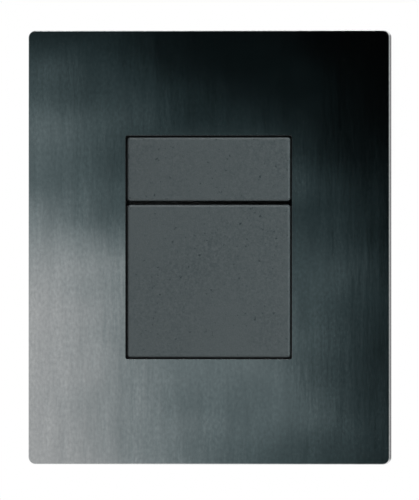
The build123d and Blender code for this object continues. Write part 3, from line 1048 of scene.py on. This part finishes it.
def share_of_glow(tree, value, dark_end, bright_end, power, least):
    """From the least share at the dark end to 1 at the bright end, slow to leave the dark."""
    drift = SMOKE_DRIFT / 2
    ramp = spread(tree, value, 0.0, 1.0, dark_end + drift, bright_end + drift, step="SMOOTHSTEP")
    return spread(tree, worked_out(tree, "POWER", ramp, power), least, 1.0, 0.0, 1.0)


def graduated_card():
    middle = (0, face_middle.y * MM - CARD_DISTANCE, 0)
    tree, glow = upright_card("graduated_card", CARD_HALF_WIDTH, CARD_HALF_HEIGHT, middle)
    place = add_node(tree, "TexCoord").outputs["Object"]
    smoke = add_node(tree, "TexNoise", {"Vector": place, **SMOKE}, noise_dimensions="4D").outputs["Color"]
    drifted = add_node(tree, "VectorMath", {0: smoke, 1: [SMOKE_DRIFT] * 3, 2: place},
                       operation="MULTIPLY_ADD").outputs["Vector"]
    along = add_node(tree, "SeparateXYZ", {"Vector": drifted}).outputs
    across = share_of_glow(tree, along["X"], **RAMP_ACROSS)
    upwards = share_of_glow(tree, along["Z"], **RAMP_UPWARDS)
    sideways = add_node(tree, "SeparateXYZ", {"Vector": place}).outputs["X"]
    ends = spread(tree, worked_out(tree, "ABSOLUTE", sideways), **PALE_END, step="SMOOTHSTEP")
    lit = worked_out(tree, "MAXIMUM", worked_out(tree, "MULTIPLY", across, upwards), ends)
    tint = blend_colours(tree, worked_out(tree, "POWER", lit, TINT_POWER), CARD_DARK_TINT, (1, 1, 1))
    feed(tree, glow.inputs["Color"], tint)
    feed(tree, glow.inputs["Strength"], spread(tree, lit, 0.0, CARD_GLOW, 0.0, 1.0))


graduated_card()

# %% Flag behind the right edge
FLAG_HALF_WIDTH = 0.03
FLAG_HALF_HEIGHT = 0.075
FLAG_GAP = 0.001
FLAG_BEHIND = 0.15
FLAG_GLOW = 0.3

flag_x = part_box("front_plate")[1].x + FLAG_GAP + FLAG_HALF_WIDTH
flag_place = (flag_x, FLAG_BEHIND, 0)
flag_tree, flag_glow = upright_card("edge_flag", FLAG_HALF_WIDTH, FLAG_HALF_HEIGHT, flag_place)
feed(flag_tree, flag_glow.inputs["Strength"], FLAG_GLOW)

# %% [markdown]
# ## The floor
# The plate hangs on a wall, so the floor is well below the picture. A plane as large as the horizon
# would do, but its far edge would cross some views as a line. This is a pale disc that takes the shadow
# and fades to white at its rim, so that views from above show no edge. From below it is clear.

# %% Floor
FLOOR_HEIGHT = -0.30
FLOOR_RADIUS = 0.9
FLOOR_SIDES = 96

disc = bmesh.new()
bmesh.ops.create_circle(disc, cap_ends=True, radius=FLOOR_RADIUS, segments=FLOOR_SIDES)
bmesh.ops.translate(disc, vec=(0, 0, FLOOR_HEIGHT), verts=disc.verts)
floor = linked_object("floor", disc)
floor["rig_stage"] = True
print("floor", 2 * FLOOR_RADIUS, "m across at a height of", FLOOR_HEIGHT, "m")

# %% Floor paint
FLOOR_GREY = (0.9, 0.9, 0.9, 1.0)
FLOOR_ROUGHNESS = 0.9
FADE_START = 0.35 * FLOOR_RADIUS
FADE_STOP = 0.95 * FLOOR_RADIUS


def floor_paint():
    material, tree = start_finish("floor_paint")
    dress(material, {"Base Color": FLOOR_GREY, "Roughness": FLOOR_ROUGHNESS})
    paint = tree.nodes["Principled BSDF"].outputs["BSDF"]
    place = add_node(tree, "TexCoord").outputs["Object"]
    level = add_node(tree, "VectorMath", {0: place, 1: (1, 1, 0)}, operation="MULTIPLY").outputs["Vector"]
    reach = add_node(tree, "VectorMath", {0: level}, operation="LENGTH").outputs["Value"]
    fade = spread(tree, reach, 0.0, 1.0, FADE_START, FADE_STOP, step="SMOOTHSTEP")
    white = add_node(tree, "Emission").outputs["Emission"]
    faded = add_node(tree, "MixShader", {0: fade, 1: paint, 2: white}).outputs["Shader"]
    from_below = add_node(tree, "NewGeometry").outputs["Backfacing"]
    clear = add_node(tree, "BsdfTransparent").outputs["BSDF"]
    whole = add_node(tree, "MixShader", {0: from_below, 1: faded, 2: clear}).outputs["Shader"]
    feed(tree, tree.nodes["Material Output"].inputs["Surface"], whole)
    return material


floor.data.materials.append(floor_paint())
print("floor fades to white from", round(FADE_START, 3), "to", round(FADE_STOP, 3), "m")

# %% [markdown]
# ## Colours and size
# The Standard view shows colours as they are written. The last line prints the box of the dressed
# model in millimetres, to set beside the box of the imported one printed at the start.

# %% Finish
scene.view_settings.view_transform = "Standard"
shown_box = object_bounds()
print_box("shown box in mm:", shown_box)
